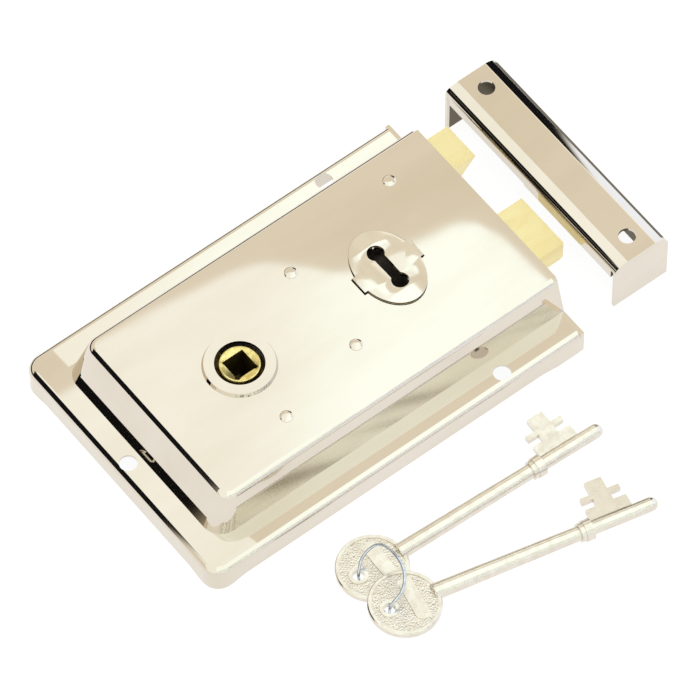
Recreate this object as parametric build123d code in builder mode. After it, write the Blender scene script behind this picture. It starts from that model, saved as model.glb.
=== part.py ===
from build123d import *
from math import cos, radians, sin, sqrt
import os

# Rim sash lock lying on its back, with its box keep and two keys on a bent wire ring.
# Millimetres. Origin: the follower's axis where it meets the door face.
# +X points at the forend, +Y up the door edge, +Z out from the door.

os.makedirs("parts", exist_ok=True)

# Case pressing
sheet = 1.0
case_width = 102.0
rear_edge = -49.5
forend_face = 100.5
forend_thick = 1.5
case_front = forend_face - forend_thick
flange_top = 10.2
case_top = 24.9
flange_corner = 6.0
flange_roll = 2.2
lip_rise = 1.2
box_rear = -40.5
box_half = 40.5
top_rear = -34.0
top_half = 37.2
box_corner = 7.0
top_corner = 4.5
top_roll = 2.2
screw_hole_r = 3.0
side_hole_x = 70.2
side_hole_y = 46.6
rear_hole_x = -45.0

# Follower and its raised boss
square = 8.0
boss_r = 12.3
boss_rise = 1.3
boss_hole_r = 8.25
journal_r = 8.18
hub_r = 6.8
lower_hole_r = 6.9
lower_journal_r = 6.82
horn_reach = 16.5
horn_half = 2.5

# Keyhole and its oval plate
key_x = 60.0
key_y = 6.4
key_round_r = 2.9
key_slot_width = 3.7
oval_x = 11.0
oval_y = 15.3
oval_thick = 0.9
tab_x = 11.55
tab_width = 6.8

# Posts: latch guide, spring post, lever pivot and bolt guide
post_r = 2.5
latch_post = (81.0, 26.0)
spring_post = (34.2, 17.6)
lever_post = (34.0, -16.8)
bolt_post = (0.0, -24.4)
post_places = [latch_post, spring_post, lever_post, bolt_post]
rivet_r = 1.55
rivet_head_r = 2.2
rivet_head_rise = 0.4
cap_screw_r = 1.25
back_thick = 1.5

# Bolts
bolt_bottom = 5.5
bolt_top = 14.5
bolt_gap = 0.2
latch_y = (22.0, 36.5)
latch_tip = 113.4
latch_rear = 96.5
latch_throw = 12.6
latch_tail_z = (9.0, 11.0)
dead_y = (-22.0, -0.3)
dead_tip = 115.0
dead_rear = 98.0
dead_throw = 14.0
dead_tail_z = (10.0, 12.5)
stump_x = 90.0
stump_y = -24.0
stump_r = 2.0
slot_half = post_r + 0.3

# Levers
lever_thick = 2.0
lever_bottoms = [15.0, 17.3]
belly_r = 13.6

# Keep
keep_front = 118.5
keep_rear = 140.5
keep_half = 44.2
keep_height = 22.3
keep_sheet = 1.1
keep_crease = 123.5
keep_front_drop = 1.1
keep_front_bend = 2.4
keep_rear_roll = 5.6
keep_lip_depth = 7.4
keep_hole_x = 129.5
keep_hole_y = 36.5
keep_hole_r = 2.9

# Keys
bow_r = 12.0
bow_thick = 2.4
bow_field = 0.3
bow_rim = 1.3
bow_hole_x = -5.4
bow_hole_r = 2.0
stem_tip = 89.8
stem_tip_r = 2.4
stem_root_r = 2.8
collar_x = 64.8
collar_r = 3.6
bit_thick = 2.2
bit_reach = 15.5
wire_r = 0.5


def pressed_form(inset):
    # Solid up to the outer surface of the case pressing, or to its inner one one sheet in.
    with BuildPart() as form:
        with BuildSketch():
            with Locations((case_front, 0)):
                Rectangle(case_front - rear_edge - inset, case_width - 2 * inset,
                          align=(Align.MAX, Align.CENTER))
            fillet(vertices().group_by(Axis.X)[0], flange_corner - inset)
        extrude(amount=flange_top - inset)
        rim = edges().group_by(Axis.Z)[-1]
        fillet(rim.filter_by(lambda edge: edge.center().X < case_front - 1), flange_roll - inset)
        with BuildSketch(Plane.XY.offset(flange_top - inset)):
            with Locations((case_front, 0)):
                Rectangle(case_front - box_rear - inset, 2 * (box_half - inset),
                          align=(Align.MAX, Align.CENTER))
            fillet(vertices().group_by(Axis.X)[0], box_corner - inset)
        with BuildSketch(Plane.XY.offset(case_top - inset)):
            with Locations((case_front, 0)):
                Rectangle(case_front - top_rear - inset, 2 * (top_half - inset),
                          align=(Align.MAX, Align.CENTER))
            fillet(vertices().group_by(Axis.X)[0], top_corner - inset)
        loft()
        crown = edges().group_by(Axis.Z)[-1]
        fillet(crown.filter_by(lambda edge: edge.center().X < case_front - 1), top_roll - inset)
        with BuildSketch(Plane.XY.offset(case_top - inset)):
            Circle(boss_r - inset)
        extrude(amount=boss_rise, taper=25)
    return form.part


def keyhole(mode=Mode.ADD):
    # Two round ends joined by a slot, so that the key's stem sits in either end.
    with Locations((key_x, key_y), (key_x, -key_y)):
        Circle(key_round_r, mode=mode)
    with Locations((key_x, 0)):
        Rectangle(key_slot_width, 2 * key_y, mode=mode)


def guide_slot(post, throw):
    # Slot in a sliding tail: with the bolt out its post stands at the slot's rear end.
    with Locations((post[0] + throw / 2, post[1])):
        SlotCenterToCenter(throw, 2 * slot_half, mode=Mode.SUBTRACT)


def box_between(x, y, z):
    # Box between two limits on each axis.
    size = [x[1] - x[0], y[1] - y[0], z[1] - z[0]]
    with Locations(((x[0] + x[1]) / 2, (y[0] + y[1]) / 2, (z[0] + z[1]) / 2)):
        Box(*size)


# Case cover: flanged pressing, open at the back and at the forend
outer_form = pressed_form(0)
inner_form = pressed_form(sheet)
with BuildPart() as case_cover:
    add(outer_form)
    add(inner_form, mode=Mode.SUBTRACT)
    # the top runs on over the forend's edge
    with BuildSketch(Plane.XY.offset(case_top - sheet)):
        with Locations((case_front, 0)):
            Rectangle(forend_thick, 2 * top_half - 2.4, align=(Align.MIN, Align.CENTER))
    extrude(amount=sheet)
    # the lip stands on its corners only
    with BuildSketch(Plane.XZ):
        with BuildLine():
            Polyline((-42, 0), (-37, lip_rise), (84, lip_rise), (90, 0), close=True)
        make_face()
    extrude(amount=case_width, both=True, mode=Mode.SUBTRACT)
    with BuildSketch(Plane.YZ.offset(rear_edge - 1)):
        with BuildLine():
            Polyline((-43, 0), (-38, lip_rise), (38, lip_rise), (43, 0), close=True)
        make_face()
    extrude(amount=8, mode=Mode.SUBTRACT)
    # screw holes in the flange
    with BuildSketch():
        with Locations((side_hole_x, side_hole_y), (side_hole_x, -side_hole_y), (rear_hole_x, 0)):
            Circle(screw_hole_r)
    extrude(amount=flange_top, mode=Mode.SUBTRACT)
    # follower hole, keyhole, slots for the oval plate's tabs and holes for the posts
    with BuildSketch(Plane.XY.offset(case_top - sheet - 1)):
        Circle(boss_hole_r)
        keyhole()
        with Locations((key_x - tab_x, 0), (key_x + tab_x, 0)):
            Rectangle(oval_thick + 0.5, tab_width + 0.4)
        with Locations(*post_places):
            Circle(rivet_r)
    extrude(amount=6, mode=Mode.SUBTRACT)
case_cover.part.label = "case_cover"
export_step(case_cover.part, "parts/case_cover.step")

# Back plate: closes the case and takes the lower journal, the screws and the rivets
foot_rivets = [(94.0, 12.0), (94.0, -31.0)]
with BuildPart() as back_plate:
    with BuildSketch():
        with Locations((case_front, 0)):
            Rectangle(case_front + 38.5, 77, align=(Align.MAX, Align.CENTER))
        fillet(vertices().group_by(Axis.X)[0], 5)
        Circle(lower_hole_r, mode=Mode.SUBTRACT)
        keyhole(Mode.SUBTRACT)
        with Locations(*foot_rivets):
            Circle(1.5, mode=Mode.SUBTRACT)
    extrude(amount=back_thick)
    for place in post_places:
        with BuildSketch():
            with Locations(place):
                Circle(2.5)
        with BuildSketch(Plane.XY.offset(1.25)):
            with Locations(place):
                Circle(cap_screw_r)
        loft(mode=Mode.SUBTRACT)
    with BuildSketch(Plane.XY.offset(1)):
        with Locations(*post_places):
            Circle(cap_screw_r)
    extrude(amount=1, mode=Mode.SUBTRACT)
back_plate.part.label = "back_plate"
export_step(back_plate.part, "parts/back_plate.step")

# Forend: end plate with the two bolt openings and two feet on the back plate
foot_spans = [(7.0, 17.0), (-36.0, -26.0)]
with BuildPart() as forend_plate:
    with BuildSketch(Plane.YZ.offset(case_front)):
        with BuildLine():
            Polyline((-case_width / 2, 0.2), (-case_width / 2, flange_top),
                     (-box_half, flange_top), (-top_half + 0.6, case_top - sheet),
                     (top_half - 0.6, case_top - sheet), (box_half, flange_top),
                     (case_width / 2, flange_top), (case_width / 2, 0.2), close=True)
        make_face()
        for span in (latch_y, dead_y):
            middle = (bolt_bottom + bolt_top) / 2
            with Locations(((span[0] + span[1]) / 2, middle)):
                Rectangle(span[1] - span[0] + 2 * bolt_gap, bolt_top - bolt_bottom + 2 * bolt_gap,
                          mode=Mode.SUBTRACT)
    extrude(amount=forend_thick)
    for span in foot_spans:
        box_between((case_front - 9, case_front), span, (back_thick, back_thick + 1.5))
    with BuildSketch():
        with Locations(*foot_rivets):
            Circle(1.5)
    extrude(amount=4, mode=Mode.SUBTRACT)
forend_plate.part.label = "forend_plate"
export_step(forend_plate.part, "parts/forend_plate.step")

# Rivets that hold the forend's feet
with BuildPart() as forend_rivets:
    with BuildSketch():
        with Locations(*foot_rivets):
            Circle(1.5)
    extrude(amount=back_thick + 1.5)
    with BuildSketch(Plane.XY.offset(back_thick + 1.5)):
        with Locations(*foot_rivets):
            Circle(2.4)
    extrude(amount=0.9, taper=25)
forend_rivets.part.label = "forend_rivets"
export_step(forend_rivets.part, "parts/forend_rivets.step")

# Case posts: shouldered pillars whose riveted ends show on the cover
with BuildPart() as case_posts:
    with BuildSketch(Plane.XY.offset(back_thick)):
        with Locations(*post_places):
            Circle(post_r)
    extrude(amount=case_top - sheet - back_thick)
    with BuildSketch(Plane.XY.offset(case_top - sheet)):
        with Locations(*post_places):
            Circle(rivet_r)
    extrude(amount=sheet)
    with BuildSketch(Plane.XY.offset(case_top)):
        with Locations(*post_places):
            Circle(rivet_head_r)
    extrude(amount=rivet_head_rise, taper=40)
    with BuildSketch(Plane.XY.offset(back_thick)):
        with Locations(*post_places):
            Circle(cap_screw_r)
    extrude(amount=5.5, mode=Mode.SUBTRACT)
case_posts.part.label = "case_posts"
export_step(case_posts.part, "parts/case_posts.step")

# Countersunk screws through the back plate into the posts
with BuildPart() as back_screws:
    for place in post_places:
        with BuildSketch(Plane.XY.offset(0.05)):
            with Locations(place):
                Circle(2.4)
        with BuildSketch(Plane.XY.offset(1.2)):
            with Locations(place):
                Circle(cap_screw_r)
        loft()
    with BuildSketch(Plane.XY.offset(1.2)):
        with Locations(*post_places):
            Circle(cap_screw_r)
    extrude(amount=5.3)
    with BuildSketch():
        with Locations(*post_places):
            Rectangle(6, 0.7, rotation=35)
    extrude(amount=0.6, mode=Mode.SUBTRACT)
back_screws.part.label = "back_screws"
export_step(back_screws.part, "parts/back_screws.step")

# Oval plate over the keyhole, held by two tabs bent through the cover
with BuildPart() as keyhole_plate:
    with BuildSketch(Plane.XY.offset(case_top)):
        with Locations((key_x, 0)):
            Ellipse(oval_x, oval_y)
            Rectangle(2 * tab_x + oval_thick, tab_width)
    extrude(amount=oval_thick)
    with BuildSketch(Plane.XY.offset(case_top - 3)):
        with Locations((key_x - tab_x, 0), (key_x + tab_x, 0)):
            Rectangle(oval_thick, tab_width)
    extrude(amount=3)
    with BuildSketch(Plane.XY.offset(case_top)):
        keyhole()
    extrude(amount=2, mode=Mode.SUBTRACT)
keyhole_plate.part.label = "keyhole_plate"
export_step(keyhole_plate.part, "parts/keyhole_plate.step")

# Follower: brass hub with a square hole and two horns that draw the latch back
with BuildPart() as follower:
    with BuildSketch(Plane.XY.offset(0.2)):
        Circle(lower_journal_r)
    extrude(amount=2)
    with BuildSketch(Plane.XY.offset(back_thick + 0.3)):
        Circle(journal_r)
    extrude(amount=case_top + boss_rise - 0.9 - back_thick - 0.3)
    with BuildSketch(Plane.XY.offset(8)):
        Rectangle(2 * horn_half, 2 * (horn_reach - horn_half))
        with Locations((0, horn_reach - horn_half), (0, horn_half - horn_reach)):
            Circle(horn_half)
    extrude(amount=4)
    with BuildSketch(Plane.XY.offset(case_top)):
        Circle(hub_r)
    extrude(amount=boss_rise - 0.4)
    with BuildSketch():
        Rectangle(square, square)
    extrude(amount=case_top + boss_rise, mode=Mode.SUBTRACT)
    mouth = faces().sort_by(Axis.Z)[-1].inner_wires().edges()
    chamfer(mouth, 0.6)
follower.part.label = "follower"
export_step(follower.part, "parts/follower.step")

# Latch bolt head: brass, square above and bevelled towards the door
with BuildPart() as latch_head:
    with BuildSketch(Plane.XZ.offset(-latch_y[0])):
        with BuildLine():
            Polyline((latch_rear, bolt_bottom), (latch_rear, bolt_top), (latch_tip, bolt_top),
                     (latch_tip, bolt_top - 0.6), (latch_tip - 7.2, bolt_bottom), close=True)
        make_face()
    extrude(amount=-(latch_y[1] - latch_y[0]))
    with Locations((latch_rear, 28.6, sum(latch_tail_z) / 2)):
        Box(9, 8.4, 2, align=(Align.MIN, Align.CENTER, Align.CENTER), mode=Mode.SUBTRACT)
latch_head.part.label = "latch_head"
export_step(latch_head.part, "parts/latch_head.step")

# Latch tail: steel plate slotted round its guide post, with a lug for the follower's horn
with BuildPart() as latch_tail:
    with BuildSketch(Plane.XY.offset(latch_tail_z[0])):
        with Locations((15, 28)):
            Rectangle(latch_rear - 15, 12, align=(Align.MIN, Align.CENTER))
        with Locations((latch_rear, 28.6)):
            Rectangle(9, 8.4, align=(Align.MIN, Align.CENTER))
        with Locations((-9, 18.5)):
            Rectangle(29, 8.5, align=(Align.MIN, Align.MIN))
        with Locations((-9, 9.6)):
            Rectangle(9 - horn_half - 0.3, 10, align=(Align.MIN, Align.MIN))
        with Locations((58, 13.8)):
            Rectangle(2.5, 9, align=(Align.MIN, Align.MIN))
        guide_slot(latch_post, latch_throw)
    extrude(amount=latch_tail_z[1] - latch_tail_z[0])
latch_tail.part.label = "latch_tail"
export_step(latch_tail.part, "parts/latch_tail.step")

# Latch spring: compression coil between its post and the tail's lug
spring_r = 2.7
spring_wire_r = 0.35
spring_start = spring_post[0] + post_r + spring_wire_r
spring_length = 58 - spring_wire_r - spring_start
with BuildPart() as latch_spring:
    with BuildLine():
        coil = Helix(pitch=spring_length / 8, height=spring_length, radius=spring_r,
                     center=(spring_start, spring_post[1], 10), direction=(1, 0, 0))
    with BuildSketch(Plane(origin=coil @ 0, z_dir=coil % 0)):
        Circle(spring_wire_r)
    sweep(path=coil, is_frenet=True)
latch_spring.part.label = "latch_spring"
export_step(latch_spring.part, "parts/latch_spring.step")

# Dead bolt head: brass block
with BuildPart() as dead_bolt_head:
    box_between((dead_rear, dead_tip), dead_y, (bolt_bottom, bolt_top))
    chamfer(edges().filter_by(Axis.Y).group_by(Axis.X)[-1].group_by(Axis.Z)[0], 0.9)
    with Locations((dead_rear, -11.2, sum(dead_tail_z) / 2)):
        Box(10, 15.6, 2.5, align=(Align.MIN, Align.CENTER, Align.CENTER), mode=Mode.SUBTRACT)
dead_bolt_head.part.label = "dead_bolt_head"
export_step(dead_bolt_head.part, "parts/dead_bolt_head.step")

# Dead bolt tail: steel plate with the talon that the key drives, slotted round its post
talon_x = key_x + dead_throw / 2
with BuildPart() as dead_bolt_tail:
    with BuildSketch(Plane.XY.offset(dead_tail_z[0])):
        with Locations((-7, -30)):
            Rectangle(86, 9.7, align=(Align.MIN, Align.MIN))
        with Locations((78, -30)):
            Rectangle(dead_rear - 78, 26.7, align=(Align.MIN, Align.MIN))
        with Locations((dead_rear, -11.2)):
            Rectangle(10, 15.6, align=(Align.MIN, Align.CENTER))
        with Locations((56, -21)):
            Rectangle(23, 3, align=(Align.MIN, Align.MIN))
        with Locations((talon_x, -22.6)):
            Rectangle(9, 5, align=(Align.CENTER, Align.MIN), mode=Mode.SUBTRACT)
        guide_slot(bolt_post, dead_throw)
        with Locations((stump_x, stump_y)):
            Circle(1.4, mode=Mode.SUBTRACT)
    extrude(amount=dead_tail_z[1] - dead_tail_z[0])
dead_bolt_tail.part.label = "dead_bolt_tail"
export_step(dead_bolt_tail.part, "parts/dead_bolt_tail.step")

# Bolt stump: pin on the tail that runs in the levers' gates
with BuildPart() as bolt_stump:
    with BuildSketch(Plane.XY.offset(dead_tail_z[0])):
        with Locations((stump_x, stump_y)):
            Circle(1.4)
    extrude(amount=dead_tail_z[1] - dead_tail_z[0])
    with BuildSketch(Plane.XY.offset(dead_tail_z[1])):
        with Locations((stump_x, stump_y)):
            Circle(stump_r)
    extrude(amount=7.3)
bolt_stump.part.label = "bolt_stump"
export_step(bolt_stump.part, "parts/bolt_stump.step")

# Spacer that carries the levers on their post, above the bolt's tail
with BuildPart() as lever_spacer:
    with BuildSketch(Plane.XY.offset(back_thick)):
        with Locations(lever_post):
            Circle(3.3)
            Circle(post_r + 0.05, mode=Mode.SUBTRACT)
    extrude(amount=lever_bottoms[0] - 0.2 - back_thick)
lever_spacer.part.label = "lever_spacer"
export_step(lever_spacer.part, "parts/lever_spacer.step")

# Levers: two plates on the pivot post, bellied round the key and gated for the stump
gate_x = (73.6, 92.8)
gate_y = (-26.4, -17.5)
for number, bottom in enumerate(lever_bottoms, start=1):
    with BuildPart() as lever:
        with BuildSketch(Plane.XY.offset(bottom)):
            with BuildLine():
                Polyline((33, -21.5), (45, -30.5), (95.5, -30.5), (95.5, -14.5), (77, -14.5),
                         (35, -11.9), close=True)
            make_face()
            with Locations(lever_post):
                Circle(5)
            with Locations((key_x, -key_y)):
                Circle(belly_r, mode=Mode.SUBTRACT)
            with Locations(lever_post):
                Circle(post_r + 0.06, mode=Mode.SUBTRACT)
            with Locations((sum(gate_x) / 2, sum(gate_y) / 2)):
                RectangleRounded(gate_x[1] - gate_x[0], gate_y[1] - gate_y[0], 1,
                                 mode=Mode.SUBTRACT)
        extrude(amount=lever_thick)
    lever.part.label = f"lever_{number}"
    export_step(lever.part, f"parts/lever_{number}.step")

# Lever springs: one leaf under each lever, both held by a stud on the back plate
stud = (48.0, -34.6)
with BuildPart() as spring_stud:
    with BuildSketch(Plane.XY.offset(back_thick)):
        with Locations(stud):
            Circle(1.5)
    extrude(amount=18.5)
spring_stud.part.label = "spring_stud"
export_step(spring_stud.part, "parts/spring_stud.step")
for number, bottom in enumerate(lever_bottoms, start=1):
    with BuildPart() as leaf:
        with BuildSketch(Plane.XY.offset(bottom + 0.2)):
            with BuildLine():
                outer = ThreePointArc((stud[0] + 1.5, -34.3), (66, -33.6), (86, -31.1))
                inner = ThreePointArc((stud[0] + 1.5, -33.9), (66, -33.2), (86, -30.7))
                Line(outer @ 0, inner @ 0)
                Line(outer @ 1, inner @ 1)
            make_face()
        extrude(amount=lever_thick - 0.4)
    leaf.part.label = f"lever_spring_{number}"
    export_step(leaf.part, f"parts/lever_spring_{number}.step")


def keep_form(inset):
    # Solid up to the keep's outer surface, or to its inner one one sheet in. The face falls away
    # a little from a crease to the front bend, and rolls down at the rear.
    fall = keep_front_drop / (keep_crease - keep_front)
    shift = inset * sqrt(1 + fall**2)
    front = keep_front + inset
    rear = keep_rear - inset
    top = keep_height - inset
    crease = keep_crease + (shift - inset) / fall
    lip_top = keep_height - keep_front_drop + inset * fall - shift
    with BuildPart() as form:
        with BuildSketch(Plane.XZ.offset(-(keep_half - inset))):
            with BuildLine():
                Polyline((front, 0), (front, lip_top), (crease, top), (rear, top), (rear, 0), close=True)
            make_face()
            fillet(vertices().sort_by_distance((rear, top))[0], keep_rear_roll - inset)
            fillet(vertices().sort_by_distance((front, lip_top))[0], keep_front_bend - inset)
        extrude(amount=2 * (keep_half - inset))
    return form.part


# Keep: one bent sheet, open towards the bolts under a short lip, and open at the back
keep_outer = keep_form(0)
keep_inner = keep_form(keep_sheet)
with BuildPart() as keep:
    add(keep_outer)
    add(keep_inner, mode=Mode.SUBTRACT)
    mouth_top = keep_height - keep_lip_depth
    inside = keep_half - keep_sheet
    with Locations((keep_front, 0, 0)):
        Box(4, 2 * inside, mouth_top, align=(Align.CENTER, Align.CENTER, Align.MIN),
            mode=Mode.SUBTRACT)
    # the lip is shorter over the latch, and slit off both cheeks
    with Locations((keep_front, inside, mouth_top)):
        Box(4, inside - 3, 0.8, align=(Align.CENTER, Align.MAX, Align.MIN), mode=Mode.SUBTRACT)
    for side in (1, -1):
        with Locations((keep_front, side * (inside - 0.6), mouth_top)):
            Box(4, 1.2, keep_lip_depth - keep_front_drop - keep_front_bend, mode=Mode.SUBTRACT,
                align=(Align.CENTER, Align.CENTER, Align.MIN))
    with BuildSketch(Plane.XY.offset(keep_height - 3)):
        with Locations((keep_hole_x, keep_hole_y), (keep_hole_x, -keep_hole_y)):
            Circle(keep_hole_r)
    extrude(amount=4, mode=Mode.SUBTRACT)
keep.part.label = "keep"
export_step(keep.part, "parts/keep.step")


def key_blank():
    # Key lying flat, its bow's centre at the origin, its stem along X and its bit towards +Y.
    with BuildPart() as blank:
        with BuildSketch(Plane.XY.offset(-bow_thick / 2)):
            Circle(bow_r)
        extrude(amount=bow_thick)
        chamfer(edges().filter_by(GeomType.CIRCLE), 0.35)
        for side in (1, -1):
            with BuildSketch(Plane.XY.offset(side * bow_thick / 2)):
                Circle(bow_r - bow_rim)
                with Locations((bow_hole_x, 0)):
                    Circle(bow_hole_r + 1.2, mode=Mode.SUBTRACT)
                with Locations((3.4, 0)):
                    SlotOverall(16.4, 4.8, rotation=90, mode=Mode.SUBTRACT)
            extrude(amount=-side * bow_field, mode=Mode.SUBTRACT)
        with BuildSketch(Plane.XZ):
            with BuildLine():
                Polyline((10, 0), (10, stem_root_r), (collar_x - 3, stem_root_r - 0.3),
                         (collar_x - 3, collar_r - 0.4), (collar_x - 1.4, collar_r - 0.4),
                         (collar_x - 1.4, collar_r), (collar_x + 1.4, collar_r),
                         (collar_x + 1.4, stem_tip_r), (stem_tip - stem_tip_r, stem_tip_r))
                RadiusArc((stem_tip - stem_tip_r, stem_tip_r), (stem_tip, 0), stem_tip_r)
                Line((stem_tip, 0), (10, 0))
            make_face()
        revolve(axis=Axis.X)
        with BuildSketch(Plane.XY.offset(-bit_thick / 2)):
            with Locations((67.3, 0)):
                Rectangle(14.5, 6.3, align=(Align.MIN, Align.MIN))
            with Locations((74.4, 0)):
                Rectangle(6, bit_reach, align=(Align.CENTER, Align.MIN))
            with Locations((74.4, 9.9)):
                Rectangle(13.8, 1.8)
        extrude(amount=bit_thick)
        with BuildSketch(Plane.XY.offset(-bow_thick)):
            with Locations((bow_hole_x, 0)):
                Circle(bow_hole_r)
        extrude(amount=2 * bow_thick, mode=Mode.SUBTRACT)
    return blank.part


def key_place(x, y, z, heading, pitch):
    # Where a key lies: its bow's centre, the way its stem points and how far that climbs.
    across = radians(heading)
    climb = radians(pitch)
    stem = (cos(across) * cos(climb), sin(across) * cos(climb), sin(climb))
    up = (-cos(across) * sin(climb), -sin(across) * sin(climb), cos(climb))
    return Plane(origin=(x, y, z), x_dir=stem, z_dir=up)


# Keys: the first lies on the ring and its collar, the second on the first one's bow
blank = key_blank()
key_places = [key_place(-4.8, -75.0, 2.55, -2.8, 0.93), key_place(-5.9, -93.0, 5.6, -11.8, -1.77)]
for number, place in enumerate(key_places, start=1):
    with BuildPart() as key:
        with Locations(place):
            add(blank)
    key.part.label = f"key_{number}"
    export_step(key.part, f"parts/key_{number}.step")

# Key ring: closed loop of bent wire through both bows, its lower run on the floor
ring_points = [(-10.2, -74.7, 0.5), (-10.2, -74.7, 5.2), (-5.2, -71.0, 8.0), (-0.8, -74.2, 13.2),
               (-0.6, -83.0, 15.4), (-4.4, -91.8, 13.4), (-11.2, -91.9, 8.8), (-11.2, -91.9, 0.5)]
ring_radii = [1.9, 2.4, 5.2, 5.6, 8.0, 6.0, 3.2, 1.9]
with BuildPart() as key_ring:
    with BuildLine(mode=Mode.PRIVATE):
        loop = FilletPolyline(*ring_points, radius=ring_radii, close=True)
    pieces = loop.edges()
    half = len(pieces) // 2
    for stretch in (Wire(pieces[:half]), Wire(pieces[half:])):
        with BuildSketch(Plane(origin=stretch @ 0, z_dir=stretch % 0)):
            Circle(wire_r)
        sweep(path=stretch)
key_ring.part.label = "key_ring"
export_step(key_ring.part, "parts/key_ring.step")
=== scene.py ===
import math

import bmesh
import bpy
from mathutils import Matrix, Vector


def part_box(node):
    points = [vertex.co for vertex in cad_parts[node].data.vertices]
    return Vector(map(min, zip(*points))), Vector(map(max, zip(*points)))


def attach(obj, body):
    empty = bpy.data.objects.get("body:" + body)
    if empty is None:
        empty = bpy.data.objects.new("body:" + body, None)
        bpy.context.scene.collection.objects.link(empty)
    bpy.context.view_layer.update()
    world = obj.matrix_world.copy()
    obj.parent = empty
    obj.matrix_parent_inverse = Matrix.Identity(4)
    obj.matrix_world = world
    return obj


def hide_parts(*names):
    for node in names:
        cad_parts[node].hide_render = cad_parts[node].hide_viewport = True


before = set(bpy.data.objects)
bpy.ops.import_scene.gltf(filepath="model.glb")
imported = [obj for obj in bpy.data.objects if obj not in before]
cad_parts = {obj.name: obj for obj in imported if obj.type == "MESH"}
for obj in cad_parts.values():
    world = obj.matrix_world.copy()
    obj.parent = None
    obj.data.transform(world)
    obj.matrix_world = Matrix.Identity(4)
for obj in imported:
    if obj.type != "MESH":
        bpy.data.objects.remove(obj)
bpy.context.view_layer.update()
print("frame loaded:", len(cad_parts), "nodes")


def toLinear(hexColour):
    # sRGB hex such as "e1dccb" to the linear values that shaders take
    out = []
    for start in (0, 2, 4):
        value = int(hexColour[start:start + 2], 16) / 255
        out.append(value / 12.92 if value <= 0.04045 else ((value + 0.055) / 1.055) ** 2.4)
    return (*out, 1.0)


def addNode(tree, kind, settings=None, inputs=None, links=None):
    # one node with its settings, its input values, and links given as {input: (node, output)}
    node = tree.nodes.new(kind)
    for key, value in (settings or {}).items():
        setattr(node, key, value)
    for key, value in (inputs or {}).items():
        node.inputs[key].default_value = value
    for key, (source, output) in (links or {}).items():
        tree.links.new(source.outputs[output], node.inputs[key])
    return node


def newMaterial(name):
    material = bpy.data.materials.new(name)
    material.use_nodes = True
    material.node_tree.nodes.clear()
    return material, material.node_tree


def setRamp(node, stops):
    ramp = node.color_ramp
    while len(ramp.elements) > 1:
        ramp.elements.remove(ramp.elements[-1])
    ramp.elements[0].position, ramp.elements[0].color = stops[0]
    for place, colour in stops[1:]:
        ramp.elements.new(place).color = colour


# metals: each is one base colour with a little tone change, a roughness that varies, and fine relief
metalFinishes = {
    # polished nickel plate on pressed steel: a warm mirror, with a faint haze left by the buffing wheel
    "polishedNickelPlate": {"colour": "dcd4c7", "tone": "d6cdbd", "rough": (0.015, 0.035), "grainMm": 26.0,
                            "reliefMm": 0.006, "reliefSizeMm": 30.0, "fineMm": 0.00012, "fineSizeMm": 0.8,
                            "stretch": (0.3, 1, 1)},
    # the keyhole plate is thinner sheet, buffed less, so what it mirrors is softer
    "buffedNickelPlate": {"colour": "e2dccf", "tone": "d6cebf", "rough": (0.06, 0.1), "grainMm": 9.0,
                          "reliefMm": 0.006, "reliefSizeMm": 18.0, "fineMm": 0.0002, "fineSizeMm": 0.5,
                          "stretch": (1, 0.3, 1)},
    # extruded brass, filed and linished along the bolt: pale, satin, with fine lines
    "linishedBrass": {"colour": "f1e4af", "tone": "e9d79a", "rough": (0.3, 0.38), "grainMm": 8.0,
                      "reliefMm": 0.002, "reliefSizeMm": 6.0, "fineMm": 0.0003, "fineSizeMm": 0.3,
                      "stretch": (0.3, 1, 1)},
    # brass casting, turned on its face: brighter ridges and browner hollows
    "turnedBrass": {"colour": "e6d692", "tone": "c3ae62", "rough": (0.16, 0.28), "grainMm": 2.0,
                    "reliefMm": 0.008, "reliefSizeMm": 2.5, "fineMm": 0.001, "fineSizeMm": 0.35,
                    "stretch": (1, 1, 1)},
    # painted shade: the square, the walls below the hub and the keyhole plate's cut edges get near-black,
    # dull brass for the shade that falls in them
    "paintedShadeBrass": {"colour": "5c4c24", "tone": "2e240f", "rough": (0.5, 0.7), "grainMm": 3.0,
                   "reliefMm": 0.01, "reliefSizeMm": 2.0, "fineMm": 0.001, "fineSizeMm": 0.4,
                   "stretch": (1, 1, 0.3)},
    # cold rolled steel plate: grey, dull, with the rolling lines lengthways
    "rolledSteel": {"colour": "a3a29f", "tone": "83817d", "rough": (0.28, 0.45), "grainMm": 9.0,
                    "reliefMm": 0.004, "reliefSizeMm": 6.0, "fineMm": 0.0015, "fineSizeMm": 0.4,
                    "stretch": (0.1, 1, 1)},
    # oil-tempered spring steel: dark blue-grey and smooth
    "temperedSpringSteel": {"colour": "6f7478", "tone": "4d5156", "rough": (0.2, 0.32), "grainMm": 4.0,
                            "reliefMm": 0.002, "reliefSizeMm": 2.0, "fineMm": 0.0008, "fineSizeMm": 0.3,
                            "stretch": (1, 1, 1)},
    # zinc-plated drawn wire: a cool blue-grey sheen
    "zincPlatedWire": {"colour": "ccd3da", "tone": "b2bac3", "rough": (0.16, 0.28), "grainMm": 1.6,
                       "reliefMm": 0.003, "reliefSizeMm": 1.2, "fineMm": 0.0008, "fineSizeMm": 0.3,
                       "stretch": (1, 1, 1)},
}


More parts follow.
